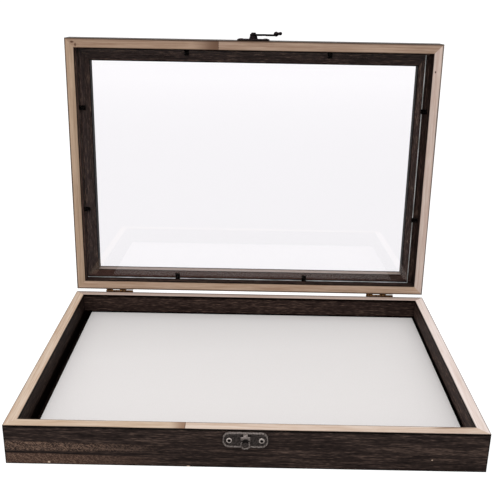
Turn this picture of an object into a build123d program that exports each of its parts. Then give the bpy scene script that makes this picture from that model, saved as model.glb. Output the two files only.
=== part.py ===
from build123d import *
import os

# Wooden display case for enamel pins: a mitred tray with a foam pad, and a glazed lid that
# stands open on two small hinges and is held shut by a swinging hook on the front.
# Millimetres. +X is the user's right, -Y is the front, +Z is up. The origin is the middle of
# the tray's underside. The lid is laid out closed and is then turned back to its open stop.

# ---------------------------------------------------------------- sizes of the woodwork
CASE_WIDTH = 350.0
CASE_DEPTH = 246.0
BOARD = 8.6  # thickness of all the upright boards
BASE_HEIGHT = 32.0
LID_HEIGHT = 21.0
RIM_GAP = 0.4  # between the two rims when the lid is shut
OPEN_ANGLE = 92.15  # from shut to the hinges' stop

LIP_WIDTH = 20.7  # from the lid's outside to the window's edge
LIP_WIDTH_BACK = 17.6  # the same on the hinge side
LIP_THICKNESS = 9.3
GLASS_THICKNESS = 2.0
GLASS_SLACK = 0.2  # left and hinge side
GLASS_SHORT_RIGHT = 4.8
GLASS_SHORT_FRONT = 1.4

PANEL_THICKNESS = 3.0  # the floor panel lies flush in a rebate round the boards' lower edge
REBATE_DEPTH = 4.4
PANEL_SLACK = 0.3

PAD_TOP = 14.0
PAD_COVER = 0.5
PAD_GAP_LEFT = 7.0
PAD_GAP_RIGHT = 1.6
PAD_GAP_BACK = 0.4
PAD_GAP_FRONT = 1.6

# ---------------------------------------------------------------- sizes of the small parts
BRAD_RADIUS = 0.55
BRAD_LENGTH = 11.0
BRAD_OFFSET_X = 118.0  # front and back boards
BRAD_OFFSET_Y = 74.0  # side boards

POINT_WIDTH = 4.6  # the flat metal points that hold the glass
POINT_THICKNESS = 0.5
POINT_OVER_GLASS = 6.4
POINT_IN_WOOD = 4.0
POINTS_BACK = (-73.8, 55.2)  # X of the points in the hinge-side board
POINTS_FRONT = (-62.9, 71.2)
POINTS_LEFT = (-58.2, 42.2)  # Y of the points in the side boards, lid shut
POINTS_RIGHT = (-60.1, 47.4)

SHEET = 0.55  # metal of the hinges
HINGE_LENGTH = 27.0
HINGE_INSET = 43.0  # hinge middle from the end of the case
HINGE_PIN_RADIUS = 0.5
HINGE_PIN_PROUD = 0.3
HINGE_RUNNING = 0.05
KNUCKLE_RADIUS = HINGE_PIN_RADIUS + SHEET
KNUCKLE_GAP = 0.15
KNUCKLES = 4  # lid, base, lid, base from the left
PIN_BEHIND = 1.9  # hinge pin behind the back face
LEAF_TOP = 0.5  # leaf edge from the pin's height
LEAF_HEIGHT = 10.0
LEAF_SCREW_DROP = 5.8  # screw line from the pin's height
LEAF_SCREW_INSET = 3.4
LEAF_CORNER = 1.2

SMALL_SCREW_RADIUS = 0.9
SMALL_HEAD_RADIUS = 1.7
SMALL_HEAD_HEIGHT = 0.8
SMALL_SCREW_LENGTH = 7.6
LATCH_SCREW_RADIUS = 1.0
LATCH_HEAD_RADIUS = 2.1
LATCH_HEAD_HEIGHT = 1.1
LATCH_SCREW_LENGTH = 8.0
SCREW_CLEARANCE = 0.1  # shank to hole, in sheet metal
CROSS_WIDTH = 0.6
CROSS_DEPTH = 0.55
CROSS_LENGTH = 0.6  # share of the head's width
HEAD_ROUNDING = 0.6  # share of the head's height
POINT_END = 0.15  # blunt end of a screw's point, share of its radius

LATCH_X = -0.7
PLATE_FIELD = 1.1  # thickness inside the raised border
PLATE_BORDER_RISE = 0.6
PLATE_BORDER_WIDTH = 1.3
CATCH_WIDTH = 33.0
CATCH_HEIGHT = 12.3
CATCH_CORNER = 5.2
CATCH_DROP = 1.8  # top of the catch plate below the tray's rim
CATCH_SCREW_OFFSET = 11.7
HASP_WIDTH = 30.0
HASP_HEIGHT = 11.0
HASP_CORNER = 4.6
HASP_SCREW_OFFSET = 11.3

NECK_WIDTH = 3.2
NECK_HEIGHT = 2.8
NECK_TOP_DROP = 0.8  # top of the neck below the catch plate's top edge
TONGUE_WIDTH = 6.8  # of the bar across its top, and of the disc that hangs from it
TONGUE_HEIGHT = 9.7
TONGUE_WAIST = 4.6
TONGUE_TOP_DROP = 0.2
TONGUE_THICKNESS = 1.2
TONGUE_BAR = 2.0
TONGUE_RIM = 0.9
TONGUE_DISH = 0.5

BOSS_RISE = 4.2
BOSS_TOP_RADIUS = 3.4
BOSS_BASE_RADIUS = 4.6
BOSS_FLARE = 7.4  # half length of the boss along the plate
BOSS_FLARE_HEIGHT = 5.0
BOSS_HOLLOW = 0.35  # share of the way out and up that the flare's hollow side passes through
ARM_THICKNESS = 1.8
ARM_PLAY = 0.1  # above and below the arm's eye
EYE_RADIUS = 3.4
RIVET_RADIUS = 1.5
RIVET_HEAD_RADIUS = 2.3
RIVET_HEAD_HEIGHT = 1.2
RIVET_RUNNING = 0.05
NOTCH_CLEARANCE = 0.35
TONGUE_CLEARANCE = 0.2
NOSE_LENGTH = 3.1
NOSE_REACH = 2.5
SPINE_WIDTH = 2.6
FINGER_HALF_WIDTH = 2.2
FINGER_END_HALF_WIDTH = 0.8  # inside the bead
BEAD_RADIUS = 2.3
BEAD_AT = 20.9  # bead centres from the rivet
BEAD_SINK = 0.3  # bead behind the arm's back face
TIP_BEAD_RADIUS = 1.6
TIP_BEAD_AT = 24.9
TIP_BEAD_RISE = 4.1  # top of the tip bead in front of the arm's back face
TIP_BEAD_FLAT = 78  # latitude above which the casting's end is filed flat
BEAD_NECK_RADIUS = 1.4

# ---------------------------------------------------------------- places worked out from them
HALF_W = CASE_WIDTH / 2
HALF_D = CASE_DEPTH / 2
IN_W = HALF_W - BOARD  # half the clear width inside the boards
IN_D = HALF_D - BOARD
LID_RIM = BASE_HEIGHT + RIM_GAP
LID_TOP = LID_RIM + LID_HEIGHT
GLASS_BACK = LID_TOP - LIP_THICKNESS  # face that lies on the lip
GLASS_FACE = GLASS_BACK - GLASS_THICKNESS
GLASS_LEFT = -IN_W + GLASS_SLACK
GLASS_RIGHT = IN_W - GLASS_SHORT_RIGHT
PIN_Y = HALF_D + PIN_BEHIND
PIN_Z = BASE_HEIGHT + RIM_GAP / 2
CATCH_Z = BASE_HEIGHT - CATCH_DROP - CATCH_HEIGHT / 2
HASP_Z = LID_RIM + HASP_HEIGHT / 2
PLATE_RISE = PLATE_FIELD + PLATE_BORDER_RISE
ARM_BACK = BOSS_RISE + ARM_PLAY  # of the arm, off the lid's front face
ARM_FACE = ARM_BACK + ARM_THICKNESS
TONGUE_BACK = ARM_FACE + TONGUE_CLEARANCE
NECK_TOP = CATCH_Z + CATCH_HEIGHT / 2 - NECK_TOP_DROP
TONGUE_TOP = CATCH_Z + CATCH_HEIGHT / 2 - TONGUE_TOP_DROP
HINGE_X = {"left": -HALF_W + HINGE_INSET, "right": HALF_W - HINGE_INSET}
ABOVE = (Align.CENTER, Align.CENTER, Align.MIN)
BELOW = (Align.CENTER, Align.CENTER, Align.MAX)


# ---------------------------------------------------------------- helpers
def block(x0, x1, y0, y1, z0, z1):
    """A box between two corners."""
    middle = Pos((x0 + x1) / 2, (y0 + y1) / 2, (z0 + z1) / 2)
    return middle * Box(abs(x1 - x0), abs(y1 - y0), abs(z1 - z0))


def ring(half_w, half_d, hole_half_w, hole_half_d, z0, z1):
    """A flat rectangular frame round the middle of the case."""
    outside = block(-half_w, half_w, -half_d, half_d, z0, z1)
    return outside - block(-hole_half_w, hole_half_w, -hole_half_d, hole_half_d, z0, z1)


def mitre_wedge(side, z0, z1):
    """The quarter of the case that one board takes between its two corner mitres."""
    reach = max(LIP_WIDTH, LIP_WIDTH_BACK) + BOARD  # past the inner edge of every board
    in_x, in_y = HALF_W - reach, HALF_D - reach
    if side in ("front", "back"):
        sign = -1 if side == "front" else 1
        corners = [(-HALF_W, sign * HALF_D), (HALF_W, sign * HALF_D)]
        corners += [(in_x, sign * in_y), (-in_x, sign * in_y)]
    else:
        sign = -1 if side == "left" else 1
        corners = [(sign * HALF_W, -HALF_D), (sign * HALF_W, HALF_D)]
        corners += [(sign * in_x, in_y), (sign * in_x, -in_y)]
    outline = make_face(Polyline(*corners, close=True))
    return extrude(Pos(0, 0, z0) * outline, amount=z1 - z0, dir=(0, 0, 1))


def on_front(x, z):
    """Placing for a part drawn flat, X across, Y up and Z out of the case's front face."""
    return Pos(x, -HALF_D, z) * Rot(X=90)


def on_back(x, z):
    """The same for the back face."""
    return Pos(x, HALF_D, z) * Rot(Z=180) * Rot(X=90)


def turned(shape, angle):
    """Turned about the hinge pins; positive shuts the lid."""
    return Pos(0, PIN_Y, PIN_Z) * Rot(X=angle) * Pos(0, -PIN_Y, -PIN_Z) * shape


def opened(shape):
    return turned(shape, -OPEN_ANGLE)


def shank(radius, length):
    """A screw's shank and point below Z = 0, and the hole that they cut in wood."""
    straight = Cylinder(radius, length - radius, align=BELOW)
    point = Cone(POINT_END * radius, radius, radius, align=ABOVE)
    return straight + Pos(0, 0, -length) * point


def screw(head_radius, head_height, radius, length):
    """Round-headed cross-slot screw, head above Z = 0."""
    head = Cylinder(head_radius, head_height, align=ABOVE)
    head = fillet(head.edges().group_by(Axis.Z)[-1], radius=HEAD_ROUNDING * head_height)
    slot = Box(CROSS_LENGTH * 2 * head_radius, CROSS_WIDTH, 2 * CROSS_DEPTH)
    head -= Pos(0, 0, head_height) * (slot + Rot(Z=90) * slot)
    return head + shank(radius, length)


def group(solids):
    return Compound(children=list(solids))


# ---------------------------------------------------------------- where the fasteners go
def leaf_screw_places(lid):
    """Placings, on the wood's back face, of one half's hinge screws."""
    z = PIN_Z + LEAF_SCREW_DROP if lid else PIN_Z - LEAF_SCREW_DROP
    reach = HINGE_LENGTH / 2 - LEAF_SCREW_INSET
    return [on_back(x + s * reach, z) for x in HINGE_X.values() for s in (-1, 1)]


def catch_screw_places():
    return [on_front(LATCH_X + s * CATCH_SCREW_OFFSET, CATCH_Z) for s in (-1, 1)]


def hasp_screw_places():
    return [on_front(LATCH_X + s * HASP_SCREW_OFFSET, HASP_Z) for s in (-1, 1)]


SMALL_IN_WOOD = shank(SMALL_SCREW_RADIUS, SMALL_SCREW_LENGTH - SHEET)
LATCH_IN_WOOD = shank(LATCH_SCREW_RADIUS, LATCH_SCREW_LENGTH - PLATE_FIELD)


def brads():
    """Headless pins driven up through the edge of the floor panel into the four boards."""
    pin = Cylinder(BRAD_RADIUS, BRAD_LENGTH, align=ABOVE)
    x, y = IN_W + REBATE_DEPTH / 2, IN_D + REBATE_DEPTH / 2
    places = [(s * BRAD_OFFSET_X, t * y) for s in (-1, 1) for t in (-1, 1)]
    places += [(s * x, t * BRAD_OFFSET_Y) for s in (-1, 1) for t in (-1, 1)]
    return [Pos(px, py, 0) * pin for px, py in places]


def glazing_points():
    """Flat points pushed into the lid's boards over the glass, lid shut."""
    flat = (GLASS_FACE - POINT_THICKNESS, GLASS_FACE)
    half = POINT_WIDTH / 2
    y_in, y_out = IN_D - POINT_OVER_GLASS, IN_D + POINT_IN_WOOD
    x_in, x_out = IN_W - POINT_OVER_GLASS, IN_W + POINT_IN_WOOD
    points = [block(x - half, x + half, y_in, y_out, *flat) for x in POINTS_BACK]
    points += [block(x - half, x + half, -y_out, -y_in, *flat) for x in POINTS_FRONT]
    points += [block(-x_out, -x_in, y - half, y + half, *flat) for y in POINTS_LEFT]
    points += [block(x_in, x_out, y - half, y + half, *flat) for y in POINTS_RIGHT]
    return points


# ---------------------------------------------------------------- tray
def base_boards():
    """Four mitred boards, rebated along the lower edge for the floor panel."""
    rebate_x, rebate_y = IN_W + REBATE_DEPTH, IN_D + REBATE_DEPTH
    frame = ring(HALF_W, HALF_D, IN_W, IN_D, PANEL_THICKNESS, BASE_HEIGHT)
    frame += ring(HALF_W, HALF_D, rebate_x, rebate_y, 0, PANEL_THICKNESS)
    for brad in brads():
        frame -= brad
    for place in leaf_screw_places(lid=False):
        frame -= place * SMALL_IN_WOOD
    for place in catch_screw_places():
        frame -= place * LATCH_IN_WOOD
    return {f"base_{side}_board": frame & mitre_wedge(side, 0, BASE_HEIGHT)
            for side in ("front", "back", "left", "right")}


def floor_panel():
    x = IN_W + REBATE_DEPTH - PANEL_SLACK
    y = IN_D + REBATE_DEPTH - PANEL_SLACK
    panel = block(-x, x, -y, y, 0, PANEL_THICKNESS)
    for brad in brads():
        panel -= brad
    return panel


def pad():
    """The foam block and the cloth that wraps its top and its four edges."""
    x0, x1 = -IN_W + PAD_GAP_LEFT, IN_W - PAD_GAP_RIGHT
    y0, y1 = -IN_D + PAD_GAP_FRONT, IN_D - PAD_GAP_BACK
    whole = block(x0, x1, y0, y1, PANEL_THICKNESS, PAD_TOP)
    c = PAD_COVER
    foam = block(x0 + c, x1 - c, y0 + c, y1 - c, PANEL_THICKNESS, PAD_TOP - c)
    return foam, whole - foam


# ---------------------------------------------------------------- lid
def lid_boards():
    """Four mitred boards, each with a lip on the outside that frames the window."""
    frame = ring(HALF_W, HALF_D, IN_W, IN_D, LID_RIM, GLASS_BACK)
    window_x = HALF_W - LIP_WIDTH
    frame += block(-HALF_W, HALF_W, -HALF_D, HALF_D, GLASS_BACK, LID_TOP)
    frame -= block(-window_x, window_x, LIP_WIDTH - HALF_D, HALF_D - LIP_WIDTH_BACK, GLASS_BACK, LID_TOP)
    for point in glazing_points():
        frame -= point
    for place in leaf_screw_places(lid=True):
        frame -= place * SMALL_IN_WOOD
    for place in hasp_screw_places():
        frame -= place * LATCH_IN_WOOD
    return {f"lid_{side}_board": frame & mitre_wedge(side, LID_RIM, LID_TOP)
            for side in ("front", "back", "left", "right")}


def glass_pane():
    front = -IN_D + GLASS_SHORT_FRONT
    return block(GLASS_LEFT, GLASS_RIGHT, front, IN_D - GLASS_SLACK, GLASS_FACE, GLASS_BACK)


# ---------------------------------------------------------------- hinges
def knuckle_spans(x, lid):
    """X ranges of one leaf's knuckles; the lid has the first and third from the left."""
    pitch = HINGE_LENGTH / KNUCKLES
    start = x - HINGE_LENGTH / 2
    first = 0 if lid else 1
    half_gap = KNUCKLE_GAP / 2
    return [(start + i * pitch + half_gap, start + (i + 1) * pitch - half_gap)
            for i in range(first, KNUCKLES, 2)]


def along_x(radius, x0, x1):
    return Pos((x0 + x1) / 2, PIN_Y, PIN_Z) * Rot(Y=90) * Cylinder(radius, x1 - x0)


def hinge_leaf(x, lid):
    """One stamped leaf: a plate on the back face, cranked out to eyes round the pin, lid shut."""
    up = 1 if lid else -1
    z0, z1 = PIN_Z + up * LEAF_TOP, PIN_Z + up * (LEAF_TOP + LEAF_HEIGHT)
    leaf = block(x - HINGE_LENGTH / 2, x + HINGE_LENGTH / 2, HALF_D, HALF_D + SHEET, z0, z1)
    corners = leaf.edges().filter_by(Axis.Y).sort_by(Axis.Z)
    far = corners[-2:] if lid else corners[:2]
    leaf = fillet(far, radius=LEAF_CORNER)
    bore = HINGE_PIN_RADIUS + (HINGE_RUNNING if lid else 0)
    for x0, x1 in knuckle_spans(x, lid):
        crank_top = PIN_Z + up * KNUCKLE_RADIUS
        leaf += block(x0, x1, HALF_D, PIN_Y, PIN_Z + up * LEAF_TOP, crank_top)
        leaf += along_x(KNUCKLE_RADIUS, x0, x1)
        if lid:
            leaf += stop_tail(x0, x1)
        leaf -= along_x(bore, x0, x1)
    for place in leaf_screw_places(lid):
        hole = Cylinder(SMALL_SCREW_RADIUS + SCREW_CLEARANCE, 4 * SHEET)
        leaf -= place * hole
    return leaf


def stop_tail(x0, x1):
    """End of a lid eye that meets the tray's leaf when the lid is fully open."""
    leaf_face = HALF_D + SHEET
    tail = block(x0, x1, leaf_face, PIN_Y, PIN_Z - KNUCKLE_RADIUS, PIN_Z - KNUCKLE_RADIUS + SHEET)
    return turned(tail, OPEN_ANGLE)


def hinge_pin(x):
    reach = HINGE_LENGTH / 2 + HINGE_PIN_PROUD
    return along_x(HINGE_PIN_RADIUS, x - reach, x + reach)


def hinge_screws(lid):
    one = screw(SMALL_HEAD_RADIUS, SMALL_HEAD_HEIGHT, SMALL_SCREW_RADIUS, SMALL_SCREW_LENGTH)
    return [place * Pos(0, 0, SHEET) * one for place in leaf_screw_places(lid)]


# ---------------------------------------------------------------- latch
def latch_plate(width, height, corner, screw_offset):
    """A plate with a raised border and two screw holes, drawn flat on Z = 0."""
    outline = RectangleRounded(width, height, corner)
    inset = PLATE_BORDER_WIDTH
    field = RectangleRounded(width - 2 * inset, height - 2 * inset, corner - inset)
    plate = extrude(outline, amount=PLATE_RISE)
    plate -= Pos(0, 0, PLATE_FIELD) * extrude(field, amount=PLATE_RISE)
    for side in (-1, 1):
        hole = Cylinder(LATCH_SCREW_RADIUS + SCREW_CLEARANCE, 4 * PLATE_FIELD)
        plate -= Pos(side * screw_offset, 0, 0) * hole
    return plate


def catch_plate():
    """Plate with a horn: a short neck that carries a dished tongue hanging in front of it."""
    plate = latch_plate(CATCH_WIDTH, CATCH_HEIGHT, CATCH_CORNER, CATCH_SCREW_OFFSET)
    neck_top = NECK_TOP - CATCH_Z
    neck = block(
        -NECK_WIDTH / 2, NECK_WIDTH / 2, neck_top - NECK_HEIGHT, neck_top,
        PLATE_FIELD / 2, TONGUE_BACK + TONGUE_THICKNESS / 2,
    )
    top = TONGUE_TOP - CATCH_Z
    disc = Pos(0, top - TONGUE_HEIGHT + TONGUE_WIDTH / 2)
    waist = TONGUE_HEIGHT - TONGUE_WIDTH / 2
    outline = disc * Circle(TONGUE_WIDTH / 2)
    outline += Pos(0, top - TONGUE_BAR / 2) * Rectangle(TONGUE_WIDTH, TONGUE_BAR)
    outline += Pos(0, top - waist / 2) * Rectangle(TONGUE_WAIST, waist)
    tongue = Pos(0, 0, TONGUE_BACK) * extrude(outline, amount=TONGUE_THICKNESS)
    dish = extrude(disc * Circle(TONGUE_WIDTH / 2 - TONGUE_RIM), amount=TONGUE_THICKNESS)
    tongue -= Pos(0, 0, TONGUE_BACK + TONGUE_THICKNESS - TONGUE_DISH) * dish
    return on_front(LATCH_X, CATCH_Z) * (plate + neck + tongue)


def hasp_plate():
    """Plate with a flared boss that the hook turns on."""
    plate = latch_plate(HASP_WIDTH, HASP_HEIGHT, HASP_CORNER, HASP_SCREW_OFFSET)
    boss = Cone(BOSS_BASE_RADIUS, BOSS_TOP_RADIUS, BOSS_RISE, align=ABOVE)
    top = (BOSS_TOP_RADIUS**2 - (BOSS_FLARE_HEIGHT / 2) ** 2) ** 0.5
    foot = PLATE_FIELD / 2
    hollow = (top + BOSS_HOLLOW * (BOSS_FLARE - top), foot + BOSS_HOLLOW * (BOSS_RISE - foot))
    flare = [Line((-BOSS_FLARE, foot), (BOSS_FLARE, foot)), Line((-top, BOSS_RISE), (top, BOSS_RISE))]
    flare += [ThreePointArc((s * BOSS_FLARE, foot), (s * hollow[0], hollow[1]), (s * top, BOSS_RISE)) for s in (-1, 1)]
    flare = extrude(Rot(X=90) * make_face(flare), amount=BOSS_FLARE_HEIGHT / 2, both=True)
    plate = plate + boss + flare
    plate -= Cylinder(RIVET_RADIUS, 3 * BOSS_RISE)
    return on_front(LATCH_X, HASP_Z) * plate


def hasp_rivet():
    body_top = ARM_FACE + ARM_PLAY
    body = Cylinder(RIVET_RADIUS, body_top, align=ABOVE)
    head = Cylinder(RIVET_HEAD_RADIUS, RIVET_HEAD_HEIGHT, align=ABOVE)
    head = fillet(head.edges().group_by(Axis.Z)[-1], radius=HEAD_ROUNDING * RIVET_HEAD_HEIGHT)
    return on_front(LATCH_X, HASP_Z) * (body + Pos(0, 0, body_top) * head)


def hook():
    """The swinging arm, drawn along +X with the side that leads on the way down at -Y."""
    near = HASP_Z - NECK_TOP  # rivet to the nearer side of the neck, latched
    far = ((near + NECK_HEIGHT) ** 2 + (NECK_WIDTH / 2) ** 2) ** 0.5
    notch_in, notch_out = near - NOTCH_CLEARANCE, far + NOTCH_CLEARANCE
    nose = notch_out + NOSE_LENGTH
    spine_in = NECK_WIDTH / 2 + NOTCH_CLEARANCE
    spine_out = spine_in + SPINE_WIDTH
    outline = Polyline(
        (0, EYE_RADIUS), (near - NECK_WIDTH, spine_out), (notch_out, spine_out),
        (nose + NOSE_REACH / 2, FINGER_HALF_WIDTH), (BEAD_AT, FINGER_END_HALF_WIDTH),
        (BEAD_AT, -FINGER_END_HALF_WIDTH), (nose, -NOSE_REACH), (notch_out, -NOSE_REACH),
        (notch_in, -NOSE_REACH / 2), (0, -EYE_RADIUS), close=True,
    )
    flat = make_face(outline) + Circle(EYE_RADIUS)
    notch = Circle(notch_out) - Circle(notch_in)
    mouth = Rectangle(2 * notch_out, 4 * EYE_RADIUS)
    flat -= notch & (Pos(notch_out, spine_in - 2 * EYE_RADIUS) * mouth)
    arm = Pos(0, 0, ARM_BACK) * extrude(flat, amount=ARM_THICKNESS)
    arm -= Cylinder(RIVET_RADIUS + RIVET_RUNNING, 4 * ARM_FACE)
    return on_front(LATCH_X, HASP_Z) * (arm + hook_beads())


def hook_beads():
    """The two cast beads at the arm's end, the small one lifted for the finger."""
    bead_z = ARM_BACK - BEAD_SINK + BEAD_RADIUS
    tip_z = ARM_BACK + TIP_BEAD_RISE - TIP_BEAD_RADIUS
    along = Vector(TIP_BEAD_AT - BEAD_AT, 0, tip_z - bead_z)
    at_bead = Plane((BEAD_AT, 0, bead_z), z_dir=along).location
    at_tip = Plane((TIP_BEAD_AT, 0, tip_z), z_dir=along).location
    neck = at_bead * Cylinder(BEAD_NECK_RADIUS, along.length, align=ABOVE)
    tip = at_tip * Sphere(TIP_BEAD_RADIUS, arc_size2=TIP_BEAD_FLAT)
    return at_bead * Sphere(BEAD_RADIUS) + neck + tip


def latch_screws(places):
    one = screw(LATCH_HEAD_RADIUS, LATCH_HEAD_HEIGHT, LATCH_SCREW_RADIUS, LATCH_SCREW_LENGTH)
    return [place * Pos(0, 0, PLATE_FIELD) * one for place in places]


# ---------------------------------------------------------------- every piece, in its own node
def all_nodes():
    nodes = base_boards()
    nodes["floor_panel"] = floor_panel()
    nodes["pin_foam"], nodes["pad_cover"] = pad()
    nodes["panel_brads"] = group(brads())
    nodes["base_hinge_screws"] = group(hinge_screws(lid=False))
    nodes["catch_plate"] = catch_plate()
    nodes["catch_screws"] = group(latch_screws(catch_screw_places()))

    lid = lid_boards()
    lid["glass_pane"] = glass_pane()
    lid["glazing_points"] = group(glazing_points())
    lid["lid_hinge_screws"] = group(hinge_screws(lid=True))
    lid["hasp_plate"] = hasp_plate()
    lid["hasp_screws"] = group(latch_screws(hasp_screw_places()))
    lid["hasp_rivet"] = hasp_rivet()
    lid["hook"] = hook()
    for side, x in HINGE_X.items():
        nodes[f"{side}_hinge_base_leaf"] = hinge_leaf(x, lid=False)
        nodes[f"{side}_hinge_pin"] = hinge_pin(x)
        lid[f"{side}_hinge_lid_leaf"] = hinge_leaf(x, lid=True)
    nodes.update({name: opened(shape) for name, shape in lid.items()})
    return nodes


os.makedirs("parts", exist_ok=True)
for name, shape in all_nodes().items():
    export_step(shape, f"parts/{name}.step")
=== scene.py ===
from math import radians

import bmesh
import bpy
from mathutils import Matrix, Vector, noise


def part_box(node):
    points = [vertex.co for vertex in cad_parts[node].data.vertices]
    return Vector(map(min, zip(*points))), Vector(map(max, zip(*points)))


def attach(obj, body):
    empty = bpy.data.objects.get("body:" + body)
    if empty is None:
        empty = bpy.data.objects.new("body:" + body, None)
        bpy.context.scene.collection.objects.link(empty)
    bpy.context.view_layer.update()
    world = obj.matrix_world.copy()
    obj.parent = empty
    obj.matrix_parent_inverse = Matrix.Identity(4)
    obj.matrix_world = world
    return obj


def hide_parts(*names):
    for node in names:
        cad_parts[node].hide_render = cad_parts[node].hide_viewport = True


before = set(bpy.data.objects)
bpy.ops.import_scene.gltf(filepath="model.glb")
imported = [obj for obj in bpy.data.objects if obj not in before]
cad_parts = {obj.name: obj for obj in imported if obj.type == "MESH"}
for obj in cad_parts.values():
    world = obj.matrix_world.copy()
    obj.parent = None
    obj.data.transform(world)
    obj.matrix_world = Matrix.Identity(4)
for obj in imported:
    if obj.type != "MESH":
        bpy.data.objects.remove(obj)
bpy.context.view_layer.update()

# ---------------------------------------------------------------- studio
# A pale table top in a light tent with a soft box overhead. Behind the case the table is painted white where
# it is mirrored, as a painted reflection of a white sweep.
# The room on the camera's side is dim, so the glass and the metal stay clear and deep.

CAMERA_PLACE = (0.0009, -0.59805, 0.34035)
CAMERA_TURN = (70.1286, -0.9758, 0.4476)
LENS = 55.567
SKY = 0.72  # soft light from all round
ROOM = 0.10  # what shines back from the dim side of the room
ROOM_ENDS = (-0.2, 0.2)  # where the dim room turns to the light tent, along the way a ray points
TABLE_HALF = 12.0  # half the table's side, in metres
MIRRORED_WHITE_STARTS = (0.06, 0.20)  # where the table's reflection is painted white, towards the back, in metres
TABLE_GLOW = 0.92
THROUGH_GLASS = (0.74, 0.90)  # the table's glow behind the pane, near the case and far from it: greyer near the case, as painted shade
NEAR_AND_FAR = (0.2, 2.0)  # where those two hold, in metres behind the case's middle
TABLE_WHITE = ("#E8E8E8", "#909090", "#5C5C5C")  # as lit, where it glows, and as metal mirrors it
MM = 0.001


def linear(hex_colour, strength=1.0):
    """An sRGB hex colour as the linear values that shaders take."""
    parts = [int(hex_colour[i:i + 2], 16) / 255 for i in (1, 3, 5)]
    lit = [c / 12.92 if c <= 0.04045 else ((c + 0.055) / 1.055) ** 2.4 for c in parts]
    return (*(strength * c for c in lit), 1.0)


def add(tree, kind, inputs=None, **settings):
    """Adds a node with its settings, and fills its inputs with values or other nodes' outputs."""
    made = tree.nodes.new("ShaderNode" + kind)
    for name, value in settings.items():
        setattr(made, name, value)
    for name, value in (inputs or {}).items():
        if isinstance(name, str):
            socket = next(s for s in made.inputs if s.enabled and s.name == name)
        else:
            socket = made.inputs[name]
        if isinstance(value, bpy.types.Node):
            value = next(s for s in value.outputs if s.enabled)
        if isinstance(value, bpy.types.NodeSocket):
            tree.links.new(value, socket)
        else:
            socket.default_value = value
    return made


def new_finish(name):
    """An empty material and its node tree."""
    material = bpy.data.materials.new(name)
    material.use_nodes = True
    material.node_tree.nodes.clear()
    return material, material.node_tree


camera = bpy.data.objects.new("camera", bpy.data.cameras.new("camera"))
camera.location = CAMERA_PLACE
camera.rotation_euler = [radians(angle) for angle in CAMERA_TURN]
camera.data.lens = LENS
camera.data.sensor_width = 36.0
camera.data.clip_start = 0.01
camera.data.clip_end = 100.0
bpy.context.scene.collection.objects.link(camera)
bpy.context.scene.camera = camera
bpy.context.scene.view_settings.view_transform = "Standard"


def how_seen(tree):
    """Whether a surface is seen straight or through glass, and whether it is seen mirrored."""
    ray = add(tree, "LightPath").outputs
    bounces = add(tree, "Math", {0: ray["Diffuse Depth"], 1: ray["Glossy Depth"]}, operation="ADD")
    straight = add(tree, "Math", {0: ray["Is Camera Ray"], 1: ray["Is Transmission Ray"]},
                   operation="MAXIMUM")
    straight = add(tree, "Math", {0: straight, 1: bounces}, operation="SUBTRACT", use_clamp=True)
    mirrored = add(tree, "Math", {0: ray["Is Glossy Ray"], 1: ray["Is Transmission Ray"]},
                   operation="MAXIMUM")
    mirrored = add(tree, "Math", {0: mirrored, 1: ray["Glossy Depth"]}, operation="MULTIPLY",
                   use_clamp=True)
    mirrored = add(tree, "Math", {0: mirrored, 1: ray["Diffuse Depth"]}, operation="SUBTRACT",
                   use_clamp=True)
    return straight, mirrored


world = bpy.data.worlds.new("studio")
world.use_nodes = True
bpy.context.scene.world = world
tree = world.node_tree
tree.nodes.clear()
straight, mirrored = how_seen(tree)
towards = add(tree, "SeparateXYZ", {"Vector": add(tree, "TexCoord").outputs["Generated"]})
behind = add(tree, "MapRange", {"Value": towards.outputs["Y"], "From Min": ROOM_ENDS[0],
                                "From Max": ROOM_ENDS[1], "To Min": ROOM, "To Max": 1.0})
strength = add(tree, "Mix", {"Factor": mirrored, "A": SKY, "B": behind})
strength = add(tree, "Mix", {"Factor": straight, "A": strength, "B": 1.0})
sky = add(tree, "Background", {"Color": linear("#FFFFFF"), "Strength": strength})
add(tree, "OutputWorld", {"Surface": sky})


def soft_box(name, place, towards, width, depth, power):
    """A rectangular studio lamp turned towards a point."""
    lamp = bpy.data.lights.new(name, "AREA")
    lamp.shape = "RECTANGLE"
    lamp.size, lamp.size_y = width, depth
    lamp.energy = power
    holder = bpy.data.objects.new(name, lamp)
    holder.location = place
    holder.rotation_euler = (Vector(towards) - Vector(place)).to_track_quat("-Z", "Y").to_euler()
    bpy.context.scene.collection.objects.link(holder)


soft_box("overhead_soft_box", (-0.10, -0.22, 1.10), (0.0, 0.0, 0.05), 1.1, 0.8, 5.2)
soft_box("front_soft_box", (-0.9, -1.5, 0.9), (0.0, 0.1, 0.12), 0.8, 0.8, 2.0)

# The table glows white where it is seen straight, as the backdrop. Mirrored, it is painted white behind the
# case and grey in front, as painted reflections. Through the pane it glows greyer near the case, as painted
# shade.
table_paint, tree = new_finish("white_table_paint")
straight, mirrored = how_seen(tree)
place = add(tree, "SeparateXYZ", {"Vector": add(tree, "TexCoord").outputs["Object"]})
behind = add(tree, "MapRange", {"Value": place.outputs["Y"], "From Min": MIRRORED_WHITE_STARTS[0],
                                "From Max": MIRRORED_WHITE_STARTS[1]}, interpolation_type="SMOOTHSTEP")
behind = add(tree, "Math", {0: mirrored, 1: behind}, operation="MULTIPLY")
in_front = add(tree, "Math", {0: mirrored, 1: behind}, operation="SUBTRACT")
bright = add(tree, "Math", {0: straight, 1: behind}, operation="MAXIMUM")
glow = add(tree, "MapRange", {"Value": place.outputs["Y"], "From Min": NEAR_AND_FAR[0],
                              "From Max": NEAR_AND_FAR[1], "To Min": THROUGH_GLASS[0],
                              "To Max": THROUGH_GLASS[1]})
through = add(tree, "LightPath").outputs["Is Transmission Ray"]
glow = add(tree, "Mix", {"Factor": through, "A": TABLE_GLOW, "B": glow})
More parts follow.
